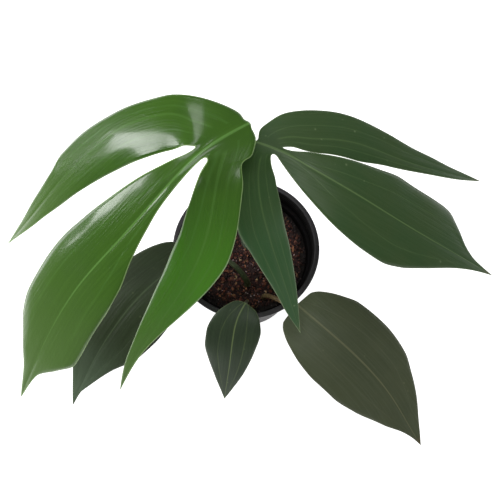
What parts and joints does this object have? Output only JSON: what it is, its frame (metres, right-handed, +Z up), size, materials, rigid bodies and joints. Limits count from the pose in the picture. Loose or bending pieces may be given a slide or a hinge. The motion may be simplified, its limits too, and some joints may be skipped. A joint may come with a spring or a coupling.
{
  "type": "potted climbing foliage plant",
  "caption": "Young climbing foliage plant in a round nursery pot, with large hanging lobed leaves above and small entire leaves over the rim.",
  "frame": {"origin": "centre of the flat underside of the pot", "axes": "+Z up along the pot's axis; -Y toward the plant's front, where the small entire leaf hangs; +X toward the dark lobed leaf"},
  "size_m": [0.3764, 0.2332, 0.2947],
  "materials": {
    "pot_plastic": "thin moulded black plastic, satin, paler worn lip",
    "potting_mix": "damp loose mix of peat, bark and coir chips",
    "stem": "smooth living green stem with pale node rings",
    "growing_tip": "smooth waxy pale green",
    "newest_petiole": "smooth waxy green",
    "dark_lobed_petiole": "smooth waxy green",
    "right_entire_petiole": "smooth, brownish pink turning yellow green",
    "small_entire_petiole": "smooth dark green",
    "left_entire_petiole": "smooth grey green",
    "newest_blade": "bright green, glossy and waxy, pale veins and margin",
    "dark_lobed_blade": "dark green, satin, pale veins and margin",
    "right_entire_blade": "dark olive green, dull, pale veins, brown tip",
    "small_entire_blade": "dark green with small brown spots and a yellow tip",
    "left_entire_blade": "very dark green, satin"
  },
  "bodies": {
    "root": {"pot": "pot_plastic", "potting_mix": "potting_mix", "stem": "stem", "growing_tip": "growing_tip", "newest_petiole": "newest_petiole", "dark_lobed_petiole": "dark_lobed_petiole", "right_entire_petiole": "right_entire_petiole", "small_entire_petiole": "small_entire_petiole", "left_entire_petiole": "left_entire_petiole", "newest_blade": "newest_blade", "dark_lobed_blade": "dark_lobed_blade", "right_entire_blade": "right_entire_blade", "small_entire_blade": "small_entire_blade", "left_entire_blade": "left_entire_blade"}
  },
  "joints": []
}
